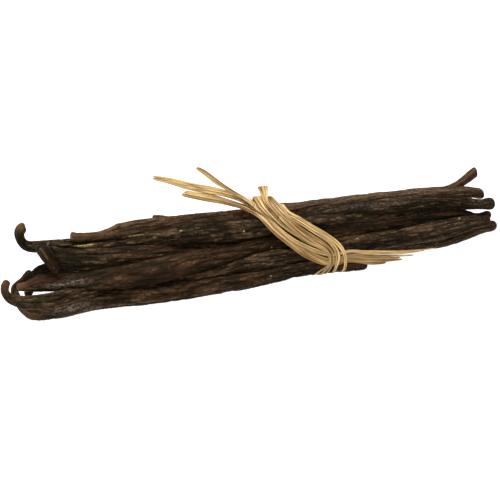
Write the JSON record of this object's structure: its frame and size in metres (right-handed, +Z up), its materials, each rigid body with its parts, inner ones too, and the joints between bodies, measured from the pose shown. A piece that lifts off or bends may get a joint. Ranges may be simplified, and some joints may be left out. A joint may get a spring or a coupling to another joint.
{
  "type": "bundle of vanilla pods",
  "caption": "Bundle of long dark wrinkled cured vanilla pods with hooked stalk ends, bound round the middle with flat strands of raffia.",
  "frame": {"origin": "under the middle of the whole bundle's box, on the surface it lies on", "axes": "+X along the bundle from the hooked stalk ends to the blossom ends, +Y to its back, +Z up"},
  "size_m": [0.179, 0.0294, 0.0383],
  "materials": {
    "pod_skin": "dark brown oily wrinkled cured pod skin",
    "raffia": "pale straw dried palm leaf strips, slight sheen"
  },
  "bodies": {
    "root": {"pod_tall_hook": "pod_skin", "pod_top": "pod_skin", "pod_curled": "pod_skin", "pod_arched": "pod_skin", "pod_under": "pod_skin", "pod_looped": "pod_skin", "pod_thick": "pod_skin", "pod_front_hook": "pod_skin", "pod_upturned": "pod_skin", "raffia_loop_1": "raffia", "raffia_loop_2": "raffia", "raffia_loop_3": "raffia", "raffia_loop_4": "raffia", "raffia_loop_5": "raffia", "raffia_strand_lower": "raffia", "raffia_strand_upper": "raffia", "raffia_strand_middle": "raffia", "raffia_tail_thin": "raffia", "raffia_folded_tab": "raffia"}
  },
  "joints": []
}
